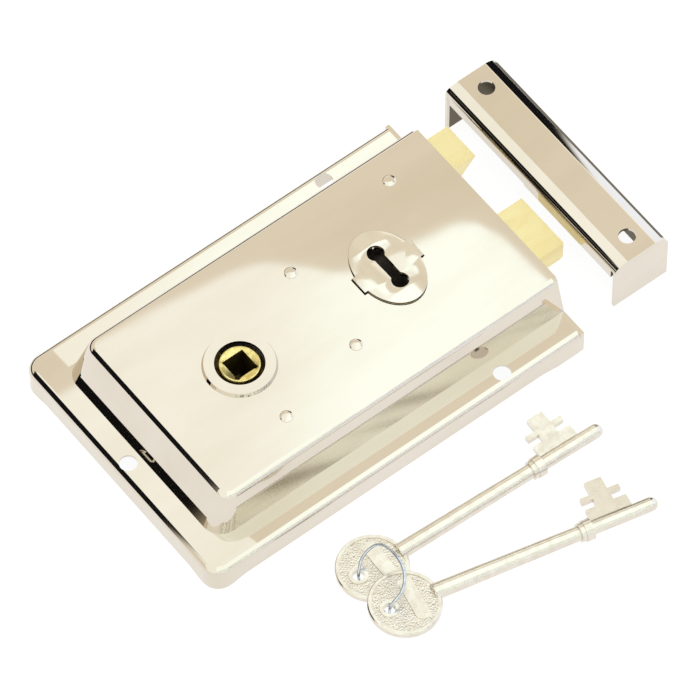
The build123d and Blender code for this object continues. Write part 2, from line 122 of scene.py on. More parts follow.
def makeMetal(name, finish):
    material, tree = newMaterial(name)
    place = addNode(tree, "ShaderNodeTexCoord")
    stretched = addNode(tree, "ShaderNodeMapping", links={"Vector": (place, "Object")})
    stretched.inputs["Scale"].default_value = finish["stretch"]
    cloud = addNode(tree, "ShaderNodeTexNoise", inputs={"Scale": 1000 / finish["grainMm"], "Detail": 5.0,
                    "Roughness": 0.6}, links={"Vector": (stretched, "Vector")})
    tones = addNode(tree, "ShaderNodeValToRGB", links={"Fac": (cloud, "Fac")})
    setRamp(tones, [(0.30, toLinear(finish["tone"])), (0.58, toLinear(finish["colour"]))])
    low, high = finish["rough"]
    haze = addNode(tree, "ShaderNodeMapRange", inputs={"From Min": 0.3, "From Max": 0.7, "To Min": high,
                   "To Max": low}, links={"Value": (cloud, "Fac")})
    swell = addNode(tree, "ShaderNodeTexNoise",
                    inputs={"Scale": 1000 / finish["reliefSizeMm"], "Detail": 1.0},
                    links={"Vector": (place, "Object")})
    fine = addNode(tree, "ShaderNodeTexNoise", inputs={"Scale": 1000 / finish["fineSizeMm"], "Detail": 2.0},
                   links={"Vector": (stretched, "Vector")})
    lowBump = addNode(tree, "ShaderNodeBump",
                      inputs={"Strength": 1.0, "Distance": finish["reliefMm"] / 1000},
                      links={"Height": (swell, "Fac")})
    fineBump = addNode(tree, "ShaderNodeBump", inputs={"Strength": 1.0, "Distance": finish["fineMm"] / 1000},
                       links={"Height": (fine, "Fac"), "Normal": (lowBump, "Normal")})
    shader = addNode(tree, "ShaderNodeBsdfPrincipled", inputs={"Metallic": 1.0},
                     links={"Base Color": (tones, "Color"), "Roughness": (haze, "Result"),
                            "Normal": (fineBump, "Normal")})
    addNode(tree, "ShaderNodeOutputMaterial", links={"Surface": (shader, "BSDF")})
    return material


def shaderOf(material):
    return next(node for node in material.node_tree.nodes if node.type == "BSDF_PRINCIPLED")


def layBumpUnder(material, height, distance, invert=False):
    # a coarse form goes beneath the metal's own low and fine relief
    tree = material.node_tree
    fineBump = shaderOf(material).inputs["Normal"].links[0].from_node
    lowBump = fineBump.inputs["Normal"].links[0].from_node
    form = addNode(tree, "ShaderNodeBump", {"invert": invert}, {"Strength": 1.0, "Distance": distance},
                   {"Height": (height, "Value")})
    tree.links.new(form.outputs["Normal"], lowBump.inputs["Normal"])


def giveMaterial(nodeName, material):
    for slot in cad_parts[nodeName].material_slots:
        slot.material = material


metals = {name: makeMetal(name, finish) for name, finish in metalFinishes.items()}
print("materials made:", len(metals))

nodeFinish = {
    "forend_plate": "polishedNickelPlate", "back_plate": "rolledSteel", "forend_rivets": "rolledSteel",
    "back_screws": "rolledSteel", "latch_tail": "rolledSteel", "dead_bolt_tail": "rolledSteel",
    "bolt_stump": "rolledSteel", "lever_spacer": "rolledSteel", "lever_1": "rolledSteel",
    "lever_2": "rolledSteel", "spring_stud": "rolledSteel",
    "latch_head": "linishedBrass", "dead_bolt_head": "linishedBrass", "latch_spring": "temperedSpringSteel",
    "lever_spring_1": "temperedSpringSteel", "lever_spring_2": "temperedSpringSteel",
}
for nodeName, finishName in nodeFinish.items():
    giveMaterial(nodeName, metals[finishName])


# the cover is the same nickel, and its long flanges are dished a little, as a pressing springs back
coverPress = {"flangeTopMm": 11.4, "wallFootMm": 40.5, "dishSlope": 0.040, "dishStartsMm": -40.0,
              "dishFullMm": -30.0}


def makeCoverNickel():
    material = makeMetal("pressedNickelCover", metalFinishes["polishedNickelPlate"])
    tree = material.node_tree
    place = addNode(tree, "ShaderNodeTexCoord")
    axes = addNode(tree, "ShaderNodeSeparateXYZ", links={"Vector": (place, "Object")})
    sideways = addNode(tree, "ShaderNodeMath", {"operation": "ABSOLUTE"}, links={0: (axes, "Y")})
    outSide = addNode(tree, "ShaderNodeMath", {"operation": "SUBTRACT"},
                      {1: coverPress["wallFootMm"] / 1000},
                      {0: (sideways, "Value")})
    reach = addNode(tree, "ShaderNodeMath", {"operation": "MAXIMUM"}, {1: 0.0}, {0: (outSide, "Value")})
    low = addNode(tree, "ShaderNodeMath", {"operation": "LESS_THAN"}, {1: coverPress["flangeTopMm"] / 1000},
                  {0: (axes, "Z")})
    along = addNode(tree, "ShaderNodeMapRange", {"interpolation_type": "SMOOTHSTEP"},
                    {"From Min": coverPress["dishStartsMm"] / 1000,
                     "From Max": coverPress["dishFullMm"] / 1000,
                     "To Max": coverPress["dishSlope"]}, {"Value": (axes, "X")})
    rise = addNode(tree, "ShaderNodeMath", {"operation": "MULTIPLY"},
                   links={0: (reach, "Value"), 1: (along, "Result")})
    dish = addNode(tree, "ShaderNodeMath", {"operation": "MULTIPLY"},
                   links={0: (rise, "Value"), 1: (low, "Value")})
    layBumpUnder(material, dish, 1.0)  # the height is already in metres
    return material


giveMaterial("case_cover", makeCoverNickel())


# the keep's outside is polished; its faces inside the box are given a dull brown as painted shade, and made
# rougher
keepInsideShade = {"wallMm": 1.0, "paintedShade": "6a6150", "rough": 0.5}


def makeKeepNickel():
    material = makeMetal("bentNickelKeep", metalFinishes["polishedNickelPlate"])
    tree = material.node_tree
    shader = shaderOf(material)
    low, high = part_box("keep")
    wall = keepInsideShade["wallMm"] / 1000
    place = addNode(tree, "ShaderNodeTexCoord")
    centred = addNode(tree, "ShaderNodeVectorMath", {"operation": "SUBTRACT"}, links={0: (place, "Object")})
    centred.inputs[1].default_value = ((low[0] + high[0]) / 2, (low[1] + high[1]) / 2, 0)
    spread = addNode(tree, "ShaderNodeVectorMath", {"operation": "ABSOLUTE"}, links={0: (centred, "Vector")})
    axes = addNode(tree, "ShaderNodeSeparateXYZ", links={"Vector": (spread, "Vector")})
    limits = {"X": (high[0] - low[0]) / 2 - wall, "Y": (high[1] - low[1]) / 2 - wall, "Z": high[2] - wall}
    inside = None
    for axis, limit in limits.items():
        within = addNode(tree, "ShaderNodeMath", {"operation": "LESS_THAN"}, {1: limit}, {0: (axes, axis)})
        if inside is None:
            inside = within
        else:
            inside = addNode(tree, "ShaderNodeMath", {"operation": "MULTIPLY"},
                             links={0: (inside, "Value"), 1: (within, "Value")})
    # painted shade: the faces inside the keep take the dull brown in place of the plating's colour
    plating = shader.inputs["Base Color"].links[0].from_node
    colour = addNode(tree, "ShaderNodeMix", {"data_type": "RGBA"}, links={"Factor": (inside, "Value")})
    tree.links.new(plating.outputs["Color"], colour.inputs[6])
    colour.inputs[7].default_value = toLinear(keepInsideShade["paintedShade"])
    tree.links.new(colour.outputs[2], shader.inputs["Base Color"])
    haze = shader.inputs["Roughness"].links[0].from_node
    dullness = addNode(tree, "ShaderNodeMix", links={"Factor": (inside, "Value"), "A": (haze, "Result")})
    dullness.inputs["B"].default_value = keepInsideShade["rough"]
    tree.links.new(dullness.outputs[0], shader.inputs["Roughness"])
    return material


giveMaterial("keep", makeKeepNickel())


# keys: nickel-plated zinc castings; inside a smooth rim the bow is pebbled, round a smooth label panel
keyMarks = {
    "key_1": {"bow": (-4.8, -75.0), "headingDeg": -2.8},
    "key_2": {"bow": (-5.9, -93.0), "headingDeg": -11.8},
}
keyCasting = {"colour": "e0d9cc", "tone": "d6cdbe", "rough": (0.16, 0.26), "grainMm": 3.0, "reliefMm": 0.004,
              "reliefSizeMm": 3.0, "fineMm": 0.0012, "fineSizeMm": 0.4, "stretch": (1, 1, 1),
              "pebbleMm": 0.62, "pebbleDeepMm": 0.16, "fieldRadiusMm": 10.5, "holeAtMm": -5.4,
              "holeRingMm": 3.3, "panelAtMm": 3.4, "panelHalfMm": (2.5, 8.3)}


def makeKeyNickel(name, mark):
    material = makeMetal(name, keyCasting)
    tree = material.node_tree
    place = addNode(tree, "ShaderNodeTexCoord")
    moved = addNode(tree, "ShaderNodeVectorMath", {"operation": "SUBTRACT"}, links={0: (place, "Object")})
    moved.inputs[1].default_value = (mark["bow"][0] / 1000, mark["bow"][1] / 1000, 0)
    turned = addNode(tree, "ShaderNodeMapping", links={"Vector": (moved, "Vector")})
    turned.inputs["Rotation"].default_value = (0, 0, -math.radians(mark["headingDeg"]))
    turned.inputs["Scale"].default_value = (1000, 1000, 1000)
    axes = addNode(tree, "ShaderNodeSeparateXYZ", links={"Vector": (turned, "Vector")})
    flat = addNode(tree, "ShaderNodeCombineXYZ", links={"X": (axes, "X"), "Y": (axes, "Y")})
    radius = addNode(tree, "ShaderNodeVectorMath", {"operation": "LENGTH"}, links={0: (flat, "Vector")})
    inField = addNode(tree, "ShaderNodeMath", {"operation": "LESS_THAN"}, {1: keyCasting["fieldRadiusMm"]},
                      {0: (radius, "Value")})
    fromHole = addNode(tree, "ShaderNodeVectorMath", {"operation": "DISTANCE"}, links={0: (flat, "Vector")})
    fromHole.inputs[1].default_value = (keyCasting["holeAtMm"], 0, 0)
    offHole = addNode(tree, "ShaderNodeMath", {"operation": "GREATER_THAN"}, {1: keyCasting["holeRingMm"]},
                      {0: (fromHole, "Value")})
    alongPanel = addNode(tree, "ShaderNodeMath", {"operation": "COMPARE"},
                         {1: keyCasting["panelAtMm"], 2: keyCasting["panelHalfMm"][0]}, {0: (axes, "X")})
    acrossPanel = addNode(tree, "ShaderNodeMath", {"operation": "COMPARE"},
                          {1: 0.0, 2: keyCasting["panelHalfMm"][1]}, {0: (axes, "Y")})
    onPanel = addNode(tree, "ShaderNodeMath", {"operation": "MULTIPLY"},
                      links={0: (alongPanel, "Value"), 1: (acrossPanel, "Value")})
    offPanel = addNode(tree, "ShaderNodeMath", {"operation": "SUBTRACT"}, {0: 1.0}, {1: (onPanel, "Value")})
    fieldOnly = addNode(tree, "ShaderNodeMath", {"operation": "MULTIPLY"},
                        links={0: (inField, "Value"), 1: (offHole, "Value")})
    rough = addNode(tree, "ShaderNodeMath", {"operation": "MULTIPLY"},
                    links={0: (fieldOnly, "Value"), 1: (offPanel, "Value")})
    pebbles = addNode(tree, "ShaderNodeTexVoronoi", {"feature": "SMOOTH_F1"},
                      {"Scale": 1 / keyCasting["pebbleMm"], "Smoothness": 0.5},
                      {"Vector": (turned, "Vector")})
    height = addNode(tree, "ShaderNodeMath", {"operation": "MULTIPLY"},
                     links={0: (pebbles, "Distance"), 1: (rough, "Value")})
    layBumpUnder(material, height, keyCasting["pebbleDeepMm"] / 1000, invert=True)
    return material


for nodeName, mark in keyMarks.items():
    giveMaterial(nodeName, makeKeyNickel("castNickelPlate_" + nodeName, mark))
print("materials given to the frame's nodes")


def finishPiece(name, mesh, materials, body, nodes, sharpDeg=35):
    # a finished piece at the origin, smooth but for its sharp edges, which rides its body for the CAD nodes
    for material in materials:
        mesh.materials.append(material)
    mesh.shade_smooth()
    mesh.set_sharp_from_angle(angle=math.radians(sharpDeg))
    piece = bpy.data.objects.new(name, mesh)
    bpy.context.scene.collection.objects.link(piece)
    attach(piece, body)
    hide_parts(*nodes)
    return piece


def ringSkin(shell, rings, darkRows):
    # quads from each ring of points to the next, and from the last ring back to the first
    rows = [[shell.verts.new(point) for point in ring] for ring in rings]
    count = len(rings[0])
    for row in range(len(rows)):
        nextRow = rows[(row + 1) % len(rows)]
        for turn in range(count):
            other = (turn + 1) % count
            face = shell.faces.new((rows[row][turn], rows[row][other], nextRow[other], nextRow[turn]))
            face.material_index = 1 if row in darkRows else 0


# follower: a turned brass hub whose face is dished down to the square, in a deep groove painted near black
# as shade
followerShape = {"squareMm": 8.0, "hubMm": 6.75, "hubTopMm": 25.75, "easeMm": 0.3, "dishMm": 0.55,
                 "grooveFloorMm": 22.6,
                 "journalMm": 8.18, "lowerJournalMm": 6.82, "lowerStepMm": 1.8, "bottomMm": 0.2,
                 "hornReachMm": 16.5,
                 "hornHalfMm": 2.5, "hornFromMm": 8.0, "hornToMm": 12.0, "hornSteps": 12, "points": 96}


def makeFollower():
    shape = followerShape
    angles = [2 * math.pi * k / shape["points"] for k in range(shape["points"])]

    def roundRing(radiusMm, zMm):
        return [(radiusMm * math.cos(a) / 1000, radiusMm * math.sin(a) / 1000, zMm / 1000) for a in angles]

    def squareRing(halfMm, zMm):
        ring = []
        for a in angles:
            reach = halfMm / max(abs(math.cos(a)), abs(math.sin(a)))
            ring.append((reach * math.cos(a) / 1000, reach * math.sin(a) / 1000, zMm / 1000))
        return ring

    half = shape["squareMm"] / 2
    top = shape["hubTopMm"]
    ease = shape["easeMm"]
    rings = [
        squareRing(half, shape["bottomMm"]),
        roundRing(shape["lowerJournalMm"], shape["bottomMm"]),
        roundRing(shape["lowerJournalMm"], shape["lowerStepMm"]),
        roundRing(shape["journalMm"], shape["lowerStepMm"]),
        roundRing(shape["journalMm"], shape["grooveFloorMm"]),
        roundRing(shape["hubMm"], shape["grooveFloorMm"]),
        roundRing(shape["hubMm"], top - 3 * ease),
        roundRing(shape["hubMm"], top - ease),
        roundRing(shape["hubMm"] - 0.3 * ease, top - 0.3 * ease),
        roundRing(shape["hubMm"] - ease, top),
        roundRing(shape["hubMm"] - 2 * ease, top - 0.1 * ease),
        squareRing(half + 0.05, top - shape["dishMm"]),
        squareRing(half, top - shape["dishMm"] - 0.1),
    ]
    shell = bmesh.new()
    ringSkin(shell, rings, darkRows=(4, 5, 12))  # painted shade: the groove's floor, the hub's foot and the square
    # the horns: a flat bar with round ends, through the hub
    steps = shape["hornSteps"]
    endMm = shape["hornReachMm"] - shape["hornHalfMm"]
    bar = []
    for side in (1, -1):
        for step in range(steps + 1):
            a = math.pi * step / steps + (0 if side > 0 else math.pi)
            bar.append((shape["hornHalfMm"] * math.cos(a) / 1000,
                        (side * endMm + shape["hornHalfMm"] * math.sin(a)) / 1000))
    low = [shell.verts.new((x, y, shape["hornFromMm"] / 1000)) for x, y in bar]
    high = [shell.verts.new((x, y, shape["hornToMm"] / 1000)) for x, y in bar]
    for k in range(len(bar)):
        n = (k + 1) % len(bar)
        shell.faces.new((low[k], low[n], high[n], high[k]))
    shell.faces.new(high)
    shell.faces.new(list(reversed(low)))
    bmesh.ops.recalc_face_normals(shell, faces=shell.faces)
    mesh = bpy.data.meshes.new("turnedFollower")
    shell.to_mesh(mesh)
    shell.free()
    twoFinishes = [metals["turnedBrass"], metals["paintedShadeBrass"]]
    return finishPiece("turnedFollower", mesh, twoFinishes, "follower", ["follower"])


# keyhole plate: thin buffed sheet with eased edges, and a tab each side, bent down through the cover
plateShape = {"acrossMm": 11.0, "alongMm": 15.3, "thickMm": 0.9, "easeMm": 0.16, "tabReachMm": 12.0,
              "tabHalfMm": 3.4,
              "tabThickMm": 0.9, "tabDeepMm": 3.0, "tabInsetMm": 0.02, "holeAtMm": 6.4, "holeMm": 2.9,
              "slotHalfMm": 1.85, "ovalSteps": 48, "holeSteps": 32, "shadeEdgeBelow": 0.3}


def arcAngles(start, sweep, steps):
    return [start + sweep * k / steps for k in range(steps + 1)]


def flatSpline(curve, points):
    spline = curve.splines.new("POLY")
    spline.points.add(len(points) - 1)
    for point, (x, y) in zip(spline.points, points):
        point.co = (x / 1000, y / 1000, 0, 1)
    spline.use_cyclic_u = True


def curveToMesh(curve, name):
    holder = bpy.data.objects.new(name, curve)
    bpy.context.scene.collection.objects.link(holder)
    mesh = bpy.data.meshes.new_from_object(holder.evaluated_get(bpy.context.evaluated_depsgraph_get()))
    bpy.data.objects.remove(holder)
    mesh.name = name
    mesh.materials.clear()
    return mesh


def makeKeyholePlate():
    shape = plateShape
    low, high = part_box("keyhole_plate")
    keyX = (low[0] + high[0]) / 2 * 1000
    plateTop = high[2] * 1000
    tabReach = shape["tabReachMm"]
    tabHalf = shape["tabHalfMm"]
    start = math.asin(tabHalf / shape["alongMm"])  # where the oval leaves the tab's corner
    meet = math.acos(shape["slotHalfMm"] / shape["holeMm"])  # where the slot runs into the round ends
    outline = []
    hole = []
    for side in (0, math.pi):
        turn = math.cos(side)
        outline += [(turn * tabReach, -turn * tabHalf), (turn * tabReach, turn * tabHalf)]
        for a in arcAngles(start + side, math.pi - 2 * start, shape["ovalSteps"]):
            outline.append((shape["acrossMm"] * math.cos(a), shape["alongMm"] * math.sin(a)))
        for a in arcAngles(side - meet, math.pi + 2 * meet, shape["holeSteps"]):
            hole.append((shape["holeMm"] * math.cos(a),
                         turn * shape["holeAtMm"] + shape["holeMm"] * math.sin(a)))
    curve = bpy.data.curves.new("plateOutline", "CURVE")
    curve.dimensions = "2D"
    curve.fill_mode = "BOTH"
    curve.extrude = (shape["thickMm"] / 2 - shape["easeMm"]) / 1000
    curve.bevel_depth = shape["easeMm"] / 1000
    curve.bevel_resolution = 3
    curve.offset = -shape["easeMm"] / 1000
    flatSpline(curve, outline)
    flatSpline(curve, hole)
    mesh = curveToMesh(curve, "boundKeyholePlate")
    shell = bmesh.new()
    shell.from_mesh(mesh)
    bmesh.ops.remove_doubles(shell, verts=shell.verts, dist=0.000004)
    bmesh.ops.translate(shell, verts=shell.verts,
                        vec=(keyX / 1000, 0, (plateTop - shape["thickMm"] / 2) / 1000))
    for side in (1, -1):
        outer = keyX + side * (tabReach - shape["tabInsetMm"])
        inner = keyX + side * (tabReach - shape["tabThickMm"])
        under = plateTop - shape["thickMm"] - shape["tabDeepMm"]
        over = plateTop - shape["easeMm"]
        foot = ((inner, -tabHalf), (outer, -tabHalf), (outer, tabHalf), (inner, tabHalf))
        verts = [shell.verts.new((x / 1000, y / 1000, z / 1000)) for z in (under, over) for x, y in foot]
        for quad in ((3, 2, 1, 0), (4, 5, 6, 7), (0, 1, 5, 4), (1, 2, 6, 5), (2, 3, 7, 6), (3, 0, 4, 7)):
            shell.faces.new([verts[k] for k in quad])
    bmesh.ops.recalc_face_normals(shell, faces=shell.faces)
    for face in shell.faces:
        if abs(face.normal.z) < shape["shadeEdgeBelow"]:
            face.material_index = 1  # painted shade: the cut edge and the tabs, near black where they meet the cover
    shell.to_mesh(mesh)
    shell.free()
    # the second finish is the painted shade brass for the plate's edges and tabs
    twoFinishes = [metals["buffedNickelPlate"], metals["paintedShadeBrass"]]
    return finishPiece("boundKeyholePlate", mesh, twoFinishes, "case", ["keyhole_plate"])


# key ring: one length of plated wire, bent by hand into a loose loop through both bows
ringWire = {"wireMm": 0.5,
            "points": [(-10.2, -74.7, 0.5), (-10.2, -74.7, 4.6), (-6.6, -71.6, 7.6), (-1.2, -72.9, 12.4),
            (-0.4, -79.0, 15.2), (-1.2, -87.0, 15.2), (-5.6, -92.2, 12.6), (-11.0, -92.2, 9.2),
                       (-11.2, -91.9, 5.4),
            (-11.2, -91.9, 0.5), (-11.0, -88.0, 0.5), (-10.4, -79.0, 0.5)]}


def makeKeyRing():
    curve = bpy.data.curves.new("ringPath", "CURVE")
    curve.dimensions = "3D"
    spline = curve.splines.new("NURBS")
    spline.points.add(len(ringWire["points"]) - 1)
    for point, place in zip(spline.points, ringWire["points"]):
        point.co = (*(value / 1000 for value in place), 1)
    spline.use_cyclic_u = True
    spline.order_u = 3
    spline.resolution_u = 12
    curve.bevel_depth = ringWire["wireMm"] / 1000
    curve.bevel_resolution = 5
    mesh = curveToMesh(curve, "bentWireRing")
    shell = bmesh.new()
    shell.from_mesh(mesh)
    bmesh.ops.remove_doubles(shell, verts=shell.verts, dist=0.000002)
    bmesh.ops.recalc_face_normals(shell, faces=shell.faces)
    shell.to_mesh(mesh)
    shell.free()
    return finishPiece("bentWireRing", mesh, [metals["zincPlatedWire"]], "key_ring", ["key_ring"])


# case posts: four turned pillars with riveted heads, so Geometry Nodes set one blank at each place
postShape = {"places": [(81.0, 26.0), (34.2, 17.6), (34.0, -16.8), (0.0, -24.4)], "shankMm": 2.5,
             "rivetMm": 1.55,
             "footMm": 1.5, "boreMm": 1.25, "boreDeepMm": 5.5, "sheetMm": 1.2, "headMm": 2.2,
             "headEdgeMm": 0.16,
             "headSpaceMm": 0.4, "segments": 40, "girth": 1.0, "seed": 4,
             # the head's crown, as how far in from its edge and how high over the cover
             "crownMm": [(0.08, 0.26), (0.3, 0.34), (0.8, 0.37), (1.4, 0.385), (2.2, 0.39)]}


def makePostBlank():
    # a lathe profile from the bore's blind end, down and out round the foot, and up to the crown
    shape = postShape
    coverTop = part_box("case_posts")[1][2] * 1000 - shape["headSpaceMm"]
    under = coverTop - shape["sheetMm"]
    boreEnd = shape["footMm"] + shape["boreDeepMm"]
    head = shape["headMm"]
    profile = [(0.0, boreEnd), (shape["boreMm"], boreEnd), (shape["boreMm"], shape["footMm"]),
               (shape["shankMm"], shape["footMm"]), (shape["shankMm"], under), (shape["rivetMm"], under),
               (shape["rivetMm"], coverTop), (head, coverTop), (head, coverTop + shape["headEdgeMm"])]
    profile += [(head - inwards, coverTop + height) for inwards, height in shape["crownMm"]]
    shell = bmesh.new()
    rows = []
    for radius, z in profile:
        if radius == 0.0:
            rows.append([shell.verts.new((0, 0, z / 1000))])
            continue
        row = []
        for k in range(shape["segments"]):
            a = 2 * math.pi * k / shape["segments"]
            row.append(shell.verts.new((radius * math.cos(a) / 1000, radius * math.sin(a) / 1000, z / 1000)))
        rows.append(row)
    for lower, upper in zip(rows, rows[1:]):
        for k in range(shape["segments"]):
            n = (k + 1) % shape["segments"]
            if len(lower) == 1:
                shell.faces.new((lower[0], upper[k], upper[n]))
            elif len(upper) == 1:
                shell.faces.new((lower[k], lower[n], upper[0]))
            else:
                shell.faces.new((lower[k], lower[n], upper[n], upper[k]))
    bmesh.ops.recalc_face_normals(shell, faces=shell.faces)
    mesh = bpy.data.meshes.new("postBlank")
    shell.to_mesh(mesh)
    shell.free()
    return mesh


def makePosts():
    blank = bpy.data.objects.new("postBlank", makePostBlank())
    bpy.context.scene.collection.objects.link(blank)
    mesh = bpy.data.meshes.new("postPlaces")
    mesh.from_pydata([(x / 1000, y / 1000, 0) for x, y in postShape["places"]], [], [])
    holder = bpy.data.objects.new("postPlaces", mesh)
    bpy.context.scene.collection.objects.link(holder)
    tree = bpy.data.node_groups.new("setPosts", "GeometryNodeTree")
    tree.interface.new_socket("Geometry", in_out="INPUT", socket_type="NodeSocketGeometry")
    girth = tree.interface.new_socket("Girth", in_out="INPUT", socket_type="NodeSocketFloat")
    girth.default_value = postShape["girth"]
    tree.interface.new_socket("Geometry", in_out="OUTPUT", socket_type="NodeSocketGeometry")
    entry = addNode(tree, "NodeGroupInput")
    points = addNode(tree, "GeometryNodeMeshToPoints", links={"Mesh": (entry, "Geometry")})
    source = addNode(tree, "GeometryNodeObjectInfo", inputs={"Object": blank})
    # each head is turned by its own amount, so that no two show the same facets
    turn = addNode(tree, "FunctionNodeRandomValue", {"data_type": "FLOAT"}, {"Seed": postShape["seed"]})
    turn.inputs[2].default_value = 0.0
    turn.inputs[3].default_value = 2 * math.pi
    aboutZ = addNode(tree, "ShaderNodeCombineXYZ")
    tree.links.new(turn.outputs[1], aboutZ.inputs["Z"])
    size = addNode(tree, "ShaderNodeCombineXYZ", inputs={"Z": 1.0},
                   links={"X": (entry, "Girth"), "Y": (entry, "Girth")})
    placed = addNode(tree, "GeometryNodeInstanceOnPoints", links={"Points": (points, "Points"),
                     "Instance": (source, "Geometry"), "Rotation": (aboutZ, "Vector"),
                                                                  "Scale": (size, "Vector")})
    real = addNode(tree, "GeometryNodeRealizeInstances", links={"Geometry": (placed, "Instances")})
    coated = addNode(tree, "GeometryNodeSetMaterial", inputs={"Material": metals["polishedNickelPlate"]},
                     links={"Geometry": (real, "Geometry")})
    addNode(tree, "NodeGroupOutput", links={"Geometry": (coated, "Geometry")})
    modifier = holder.modifiers.new("setPosts", "NODES")
    modifier.node_group = tree
    modifier[girth.identifier] = postShape["girth"]
    shown = bpy.data.meshes.new_from_object(holder.evaluated_get(bpy.context.evaluated_depsgraph_get()))
    shown.name = "rivetedPosts"
    shown.materials.clear()
    bpy.data.objects.remove(holder)
    bpy.data.objects.remove(blank)
    return finishPiece("rivetedPosts", shown, [metals["polishedNickelPlate"]], "case", ["case_posts"])


makeFollower()
makeKeyholePlate()
makeKeyRing()
makePosts()
print("pieces made: follower, keyhole plate, key ring, posts")


# studio: a lit white table, an even sky, and a tent that only the metal sees. Places in the tent are
# given by direction from the lock: along +X or +Y over height, or else the part of the unit direction.
studio = {
    "skyStrength": 1.1, "tableGlow": 0.93, "tableHalf": 2.6, "tableDrop": 0.0002, "tableTones": (0.16, 0.17),
    "tentRadius": 1.6, "tentFoot": -0.22, "leastHeight": 0.02,
    "lampColour": (1.27, 1.30, 1.25, 1), "lampBright": (1.40, 1.52, 1.51, 1), "lampRange": (-0.13, -0.05),
    "wallColour": (0.99, 0.92, 0.78, 1), "creamColour": (1.3, 1.26, 1.15, 1),
    "coolColour": (1.2, 1.3, 1.5, 1),
    "darkColour": (0.010, 0.010, 0.012, 1), "brownColour": (0.22, 0.17, 0.10, 1),
    # the lamp's far edge: how far along +Y it reaches for each place along +X
    "lampEdge": [(0.0, 0.538), (0.338, 0.5324), (0.371, 0.5288), (0.398, 0.5234), (0.411, 0.5132),
                 (0.422, 0.5007), (0.453, 0.4943), (0.475, 0.4884), (0.480, 0.4776), (0.4826, 0.4636),
                 (0.4838, 0.44), (0.487, 0.2), (1.0, 0.0)],
    "lampSoft": 0.0025, "lampLeft": -0.15, "lampLeftSoft": 0.02, "strip": 0.66, "stripSoft": 0.02,
    "darkRight": 0.74, "darkRightSoft": 0.01, "darkSide": 0.388, "darkSideSoft": 0.006, "darkSideEnd": 0.56,
    "darkEndSoft": 0.03, "lowSky": 0.36, "lowSkySoft": 0.03,
    "streakScale": (12.0, 3.0, 300.0), "streakEdge": 0.57, "streakSoft": 0.05, "streakSide": (-0.62, -0.68),
}


def makeTable():
    mesh = bpy.data.meshes.new("table")
    half = studio["tableHalf"]
    corners = [(-half, -half), (half, -half), (half, half), (-half, half)]
    mesh.from_pydata([(x, y, -studio["tableDrop"]) for x, y in corners], [], [(0, 1, 2, 3)])
    table = bpy.data.objects.new("table", mesh)
    bpy.context.scene.collection.objects.link(table)
    material, tree = newMaterial("litWhiteTable")
    place = addNode(tree, "ShaderNodeTexCoord")
    cloud = addNode(tree, "ShaderNodeTexNoise", inputs={"Scale": 3.0, "Detail": 2.0},
                    links={"Vector": (place, "Object")})
    tones = addNode(tree, "ShaderNodeValToRGB", links={"Fac": (cloud, "Fac")})
    darker, lighter = studio["tableTones"]
    setRamp(tones, [(0.3, (darker, darker, darker, 1)), (0.7, (lighter, lighter, lighter, 1))])
    matt = addNode(tree, "ShaderNodeBsdfDiffuse", links={"Color": (tones, "Color")})
    glow = addNode(tree, "ShaderNodeEmission",
                   inputs={"Color": (1, 1, 1, 1), "Strength": studio["tableGlow"]})
    both = addNode(tree, "ShaderNodeAddShader", links={0: (matt, "BSDF"), 1: (glow, "Emission")})
    addNode(tree, "ShaderNodeOutputMaterial", links={"Surface": (both, "Shader")})
    mesh.materials.append(material)
    return table


def compare(tree, source, output, edge, soft):
    # 0 below the edge, 1 above it, with a soft step between
    return addNode(tree, "ShaderNodeMapRange", {"interpolation_type": "SMOOTHSTEP"},
                   {"From Min": edge - soft, "From Max": edge + soft}, {"Value": (source, output)})


def mixColour(tree, mask, first, second):
    node = addNode(tree, "ShaderNodeMix", {"data_type": "RGBA"},
                   links={"Factor": (mask, mask.outputs[0].name)})
    for socket, value in ((6, first), (7, second)):
        if isinstance(value, tuple):
            node.inputs[socket].default_value = value
        else:
            tree.links.new(value.outputs[2], node.inputs[socket])
    return node


